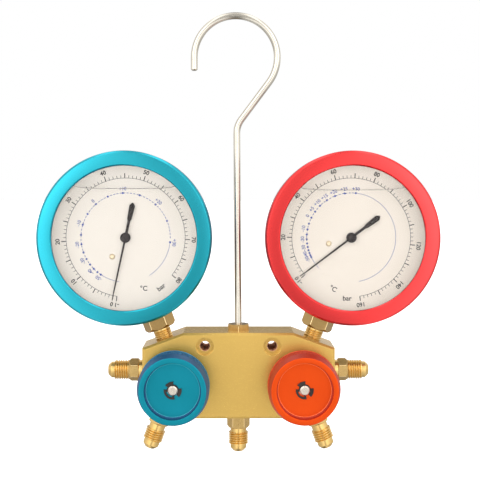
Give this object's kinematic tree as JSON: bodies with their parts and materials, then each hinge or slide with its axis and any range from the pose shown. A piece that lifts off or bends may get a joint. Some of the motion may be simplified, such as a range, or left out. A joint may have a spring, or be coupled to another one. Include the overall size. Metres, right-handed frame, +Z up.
{
  "type": "refrigerant manifold gauge",
  "caption": "Refrigerant manifold: gold block with hand valves, flare ports, liquid-filled pressure gauges with red and blue bezels, and a wire hanging hook.",
  "frame": {"origin": "midway between the two panel screw holes, on the manifold block's back face", "axes": "+Z up towards the hook, +X to the right of someone reading the dials, +Y back towards the panel; the dials face -Y"},
  "size_m": [0.2252, 0.054, 0.2522],
  "materials": {
    "bezel_blue": "blue-green anodised aluminium",
    "bezel_red": "red anodised aluminium",
    "block_gold": "gold anodised aluminium, fine satin",
    "brass": "turned brass",
    "brass_inner": "stamped and machined brass",
    "case_steel": "pressed stainless steel",
    "dial_white": "matt white print ground",
    "hook_steel": "drawn stainless wire",
    "knob_orange": "orange-red anodised aluminium, knurled edge",
    "knob_teal": "teal anodised aluminium, knurled edge",
    "pointer_black": "matt black",
    "rubber": "moulded rubber",
    "seat_plastic": "white fluoropolymer",
    "spring_steel": "blackened spring steel",
    "stem_steel": "turned stainless",
    "window_glass": "clear flat glass"
  },
  "bodies": {
    "manifold": {"manifold_block": "block_gold", "hook_rod": "hook_steel", "hook_bush": "brass", "left_side_port": "brass", "right_side_port": "brass", "left_lower_port": "brass", "right_lower_port": "brass", "centre_port": "brass", "low_valve_bonnet": "brass", "low_valve_bonnet_seal": "rubber", "low_gauge_socket": "brass", "low_gauge_case": "case_steel", "low_gauge_bezel": "bezel_blue", "low_gauge_window": "window_glass", "low_gauge_window_gasket": "rubber", "low_gauge_dial": "dial_white", "low_gauge_dial_screw": "brass_inner", "low_gauge_bourdon_tube": "brass_inner", "low_gauge_back_plate": "brass_inner", "low_gauge_front_plate": "brass_inner", "low_gauge_hairspring": "brass_inner", "low_gauge_fill_plug": "rubber", "high_valve_bonnet": "brass", "high_valve_bonnet_seal": "rubber", "high_gauge_socket": "brass", "high_gauge_case": "case_steel", "high_gauge_bezel": "bezel_red", "high_gauge_window": "window_glass", "high_gauge_window_gasket": "rubber", "high_gauge_dial": "dial_white", "high_gauge_dial_screw": "brass_inner", "high_gauge_bourdon_tube": "brass_inner", "high_gauge_back_plate": "brass_inner", "high_gauge_front_plate": "brass_inner", "high_gauge_hairspring": "brass_inner", "high_gauge_fill_plug": "rubber"},
    "low_valve_seat": {"low_valve_plunger": "brass", "low_valve_seat_disc": "seat_plastic"},
    "low_valve_spindle": {"low_valve_stem": "stem_steel", "low_valve_stem_seal": "rubber", "low_valve_knob": "knob_teal", "low_valve_clip": "spring_steel"},
    "low_gauge_gear": {"low_gauge_sector": "brass_inner"},
    "low_gauge_hand": {"low_gauge_pointer": "pointer_black", "low_gauge_pinion": "brass_inner"},
    "low_gauge_rod": {"low_gauge_link": "brass_inner"},
    "high_valve_seat": {"high_valve_plunger": "brass", "high_valve_seat_disc": "seat_plastic"},
    "high_valve_spindle": {"high_valve_stem": "stem_steel", "high_valve_stem_seal": "rubber", "high_valve_knob": "knob_orange", "high_valve_clip": "spring_steel"},
    "high_gauge_gear": {"high_gauge_sector": "brass_inner"},
    "high_gauge_hand": {"high_gauge_pointer": "pointer_black", "high_gauge_pinion": "brass_inner"},
    "high_gauge_rod": {"high_gauge_link": "brass_inner"}
  },
  "joints": [
    {"name": "low_valve_lift", "type": "slide", "parent": "manifold", "child": "low_valve_seat", "axis": [0, -1, 0], "range_m": [0, 0.003]},
    {"name": "low_valve_turn", "type": "hinge", "parent": "low_valve_seat", "child": "low_valve_spindle", "pos_m": [-0.03585, -0.0165, -0.0207], "axis": [0, -1, 0], "range_deg": [0, 1080]},
    {"name": "low_sector_turn", "type": "hinge", "parent": "manifold", "child": "low_gauge_gear", "pos_m": [-0.05756, -0.0208, 0.04433], "axis": [0, -1, 0], "range_deg": [-0.41, 32.98], "stiffness_Nm_per_rad": 0.02},
    {"name": "low_pointer_turn", "type": "hinge", "parent": "manifold", "child": "low_gauge_hand", "pos_m": [-0.06372, -0.024, 0.06125], "axis": [0, 1, 0], "range_deg": [-3.79, 296.92]},
    {"name": "low_link_swing", "type": "hinge", "parent": "low_gauge_gear", "child": "low_gauge_rod", "pos_m": [-0.05389, -0.0197, 0.03897], "axis": [0, -1, 0], "range_deg": [-29.5, 1]},
    {"name": "high_valve_lift", "type": "slide", "parent": "manifold", "child": "high_valve_seat", "axis": [0, -1, 0], "range_m": [0, 0.003]},
    {"name": "high_valve_turn", "type": "hinge", "parent": "high_valve_seat", "child": "high_valve_spindle", "pos_m": [0.03585, -0.0165, -0.0207], "axis": [0, -1, 0], "range_deg": [0, 1080]},
    {"name": "high_sector_turn", "type": "hinge", "parent": "manifold", "child": "high_gauge_gear", "pos_m": [0.05756, -0.0208, 0.04433], "axis": [0, -1, 0], "range_deg": [-0.2, 33.19], "stiffness_Nm_per_rad": 0.02},
    {"name": "high_pointer_turn", "type": "hinge", "parent": "manifold", "child": "high_gauge_hand", "pos_m": [0.06372, -0.024, 0.06125], "axis": [0, 1, 0], "range_deg": [-1.9, 298.81]},
    {"name": "high_link_swing", "type": "hinge", "parent": "high_gauge_gear", "child": "high_gauge_rod", "pos_m": [0.05693, -0.0197, 0.03786], "axis": [0, -1, 0], "range_deg": [-29.5, 1]}
  ],
  "couplings": [
    {"joint": "low_valve_lift", "follows": "low_valve_turn", "m_per_rad": 0.00015915},
    {"joint": "low_pointer_turn", "follows": "low_sector_turn", "ratio": 9},
    {"joint": "low_link_swing", "follows": "low_sector_turn", "ratio": -0.867},
    {"joint": "high_valve_lift", "follows": "high_valve_turn", "m_per_rad": 0.00015915},
    {"joint": "high_pointer_turn", "follows": "high_sector_turn", "ratio": 9},
    {"joint": "high_link_swing", "follows": "high_sector_turn", "ratio": -0.867}
  ]
}
